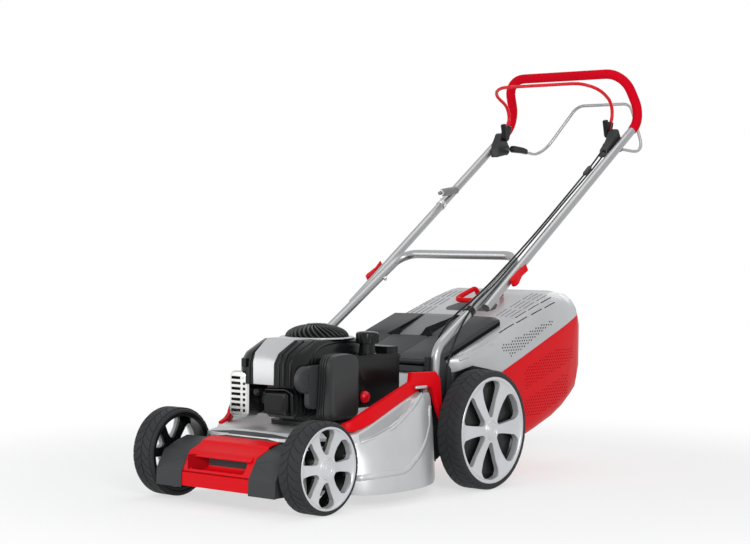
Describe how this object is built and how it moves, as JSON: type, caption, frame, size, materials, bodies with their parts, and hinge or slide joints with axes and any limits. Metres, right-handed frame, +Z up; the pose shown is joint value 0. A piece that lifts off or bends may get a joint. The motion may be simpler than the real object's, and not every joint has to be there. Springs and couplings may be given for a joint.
{
  "type": "petrol lawn mower",
  "caption": "Self-propelled rotary petrol lawn mower with a steel deck, folding tube handle and rear grass box.",
  "frame": {"origin": "middle of the footprint, on the ground", "axes": "+Y towards the operator and the grass box, +Z up, +X to the mower's own left side, where the tank and the air filter are"},
  "size_m": [0.5548, 1.5817, 1.0448],
  "materials": {
    "deck_paint": "satin silver-grey paint",
    "silver_paint": "satin silver paint on tube",
    "rim_silver": "silver-painted plastic",
    "silver_plastic": "silver-painted plastic",
    "red_plastic": "glossy red plastic",
    "red_coated_steel": "red dip coating on steel wire",
    "red_foam": "soft foam sleeve",
    "red_rubber": "smooth rubber bulb",
    "dark_plastic": "grained dark grey plastic",
    "black_plastic": "moulded black plastic",
    "black_rubber": "smooth black rubber",
    "grey_rubber": "grey moulded grip",
    "tyre_rubber": "treaded black tyre",
    "plated_steel": "zinc-plated steel",
    "black_steel": "black heat-proof paint",
    "cast_aluminium": "sand-cast aluminium",
    "cast_iron": "machined cast iron"
  },
  "bodies": {
    "base": {"deck_shell": "deck_paint", "front_apron": "red_plastic", "front_bumper": "dark_plastic", "side_rail_left": "red_plastic", "side_rail_right": "red_plastic", "rear_frame": "dark_plastic", "lower_handle": "silver_paint", "engine_block": "cast_aluminium", "valve_cover": "black_plastic", "spark_plug": "black_rubber", "muffler": "black_steel", "muffler_guard": "plated_steel", "blower_housing": "black_plastic", "housing_fascia": "silver_plastic", "recoil_cover": "black_plastic", "carburettor": "black_plastic", "air_filter_cover": "black_plastic", "fuel_tank": "black_plastic", "gearbox": "cast_aluminium", "v_belt": "black_rubber", "flap_pin": "plated_steel", "cable_clip": "black_plastic", "brake_cable": "black_rubber", "drive_cable": "black_rubber"},
    "front_swing_axle": {"front_axle": "plated_steel"},
    "rear_swing_axle": {"rear_axle": "plated_steel"},
    "wheel_front_left": {"rim_front_left": "rim_silver", "tyre_front_left": "tyre_rubber"},
    "wheel_front_right": {"rim_front_right": "rim_silver", "tyre_front_right": "tyre_rubber"},
    "wheel_rear_left": {"rim_rear_left": "rim_silver", "tyre_rear_left": "tyre_rubber"},
    "wheel_rear_right": {"rim_rear_right": "rim_silver", "tyre_rear_right": "tyre_rubber"},
    "cross_shaft": {"drive_shaft": "plated_steel"},
    "drive_pulley": {"gearbox_pulley": "plated_steel"},
    "crank": {"crankshaft": "plated_steel", "flywheel": "cast_iron", "blade_boss": "cast_iron", "blade": "black_steel"},
    "flap": {"rear_flap": "dark_plastic"},
    "grass_box": {"box_top": "silver_plastic", "box_body": "red_plastic", "box_handle": "red_plastic"},
    "folding_handle": {"upper_handle": "silver_paint", "handle_grip": "red_foam", "control_bracket_left": "black_plastic", "control_bracket_right": "black_plastic", "rope_guide": "plated_steel"},
    "brake_control": {"brake_bail": "red_coated_steel"},
    "drive_control": {"drive_bail": "silver_paint"},
    "left_clamp": {"cam_lever_left": "red_plastic"},
    "right_clamp": {"cam_lever_right": "red_plastic"},
    "starter": {"starter_grip": "grey_rubber"},
    "filler_cap": {"fuel_cap": "black_plastic"},
    "primer": {"primer_bulb": "red_rubber"},
    "height_release": {"height_button": "silver_plastic"}
  },
  "joints": [
    {"name": "rear_height_swing", "type": "hinge", "parent": "base", "child": "rear_swing_axle", "pos_m": [0, -0.19019, 0.1138], "axis": [-1, 0, 0], "range_deg": [0, 50]},
    {"name": "front_height_swing", "type": "hinge", "parent": "base", "child": "front_swing_axle", "pos_m": [0, -0.74719, 0.0738], "axis": [-1, 0, 0], "range_deg": [0, 50]},
    {"name": "front_left_wheel_spin", "type": "hinge", "parent": "front_swing_axle", "child": "wheel_front_left", "pos_m": [0.2175, -0.691, 0.1], "axis": [1, 0, 0], "continuous": true},
    {"name": "front_right_wheel_spin", "type": "hinge", "parent": "front_swing_axle", "child": "wheel_front_right", "pos_m": [-0.2175, -0.691, 0.1], "axis": [1, 0, 0], "continuous": true},
    {"name": "rear_left_wheel_spin", "type": "hinge", "parent": "rear_swing_axle", "child": "wheel_rear_left", "pos_m": [0.2454, -0.134, 0.14], "axis": [1, 0, 0], "continuous": true},
    {"name": "rear_right_wheel_spin", "type": "hinge", "parent": "rear_swing_axle", "child": "wheel_rear_right", "pos_m": [-0.2454, -0.134, 0.14], "axis": [1, 0, 0], "continuous": true},
    {"name": "cross_shaft_spin", "type": "hinge", "parent": "base", "child": "cross_shaft", "pos_m": [0, -0.19019, 0.1138], "axis": [1, 0, 0], "continuous": true},
    {"name": "crank_spin", "type": "hinge", "parent": "base", "child": "crank", "pos_m": [0, -0.446, 0.16], "axis": [0, 0, 1], "continuous": true},
    {"name": "drive_pulley_spin", "type": "hinge", "parent": "base", "child": "drive_pulley", "pos_m": [0, -0.1737, 0.135], "axis": [0, 0, 1], "continuous": true},
    {"name": "flap_lift", "type": "hinge", "parent": "base", "child": "flap", "pos_m": [0, -0.221, 0.296], "axis": [1, 0, 0], "range_deg": [0, 75]},
    {"name": "grass_box_slide", "type": "slide", "parent": "base", "child": "grass_box", "axis": [0, 1, 0], "range_m": [0, 0.25]},
    {"name": "handle_fold", "type": "hinge", "parent": "base", "child": "folding_handle", "pos_m": [0, 0.033, 0.49261], "axis": [1, 0, 0], "range_deg": [0, 140], "deforming": ["brake_cable", "drive_cable"]},
    {"name": "brake_bail_pivot", "type": "hinge", "parent": "folding_handle", "child": "brake_control", "pos_m": [0, 0.541, 0.868], "axis": [-1, 0, 0], "range_deg": [0, 40], "stiffness_Nm_per_rad": 0.6, "springref_deg": -34.38},
    {"name": "drive_bail_pivot", "type": "hinge", "parent": "folding_handle", "child": "drive_control", "pos_m": [0, 0.557, 0.836], "axis": [1, 0, 0], "range_deg": [0, 50], "stiffness_Nm_per_rad": 0.6, "springref_deg": -34.38},
    {"name": "left_clamp_pivot", "type": "hinge", "parent": "folding_handle", "child": "left_clamp", "pos_m": [0.22448, 0.0205, 0.48351], "axis": [0, 0.5668, -0.8239], "range_deg": [0, 120]},
    {"name": "right_clamp_pivot", "type": "hinge", "parent": "folding_handle", "child": "right_clamp", "pos_m": [-0.22448, 0.0205, 0.48351], "axis": [0, -0.5668, 0.8239], "range_deg": [0, 120]},
    {"name": "starter_pull", "type": "slide", "parent": "folding_handle", "child": "starter", "axis": [0, 0.9903, 0.1392], "range_m": [0, 0.6], "stiffness_N_per_m": 20, "springref_m": -0.2},
    {"name": "filler_cap_turn", "type": "hinge", "parent": "base", "child": "filler_cap", "pos_m": [0.1145, -0.404, 0.3563], "axis": [0, 0, 1], "range_deg": [0, 90]},
    {"name": "primer_press", "type": "slide", "parent": "base", "child": "primer", "axis": [-1, 0, 0], "range_m": [0, 0.005], "stiffness_N_per_m": 500, "springref_m": -0.002},
    {"name": "height_release_press", "type": "slide", "parent": "base", "child": "height_release", "axis": [0, 0, -1], "range_m": [0, 0.004], "stiffness_N_per_m": 500, "springref_m": -0.002}
  ],
  "couplings": [
    {"joint": "front_height_swing", "follows": "rear_height_swing", "ratio": 1},
    {"joint": "drive_pulley_spin", "follows": "crank_spin", "ratio": 0.73333}
  ]
}
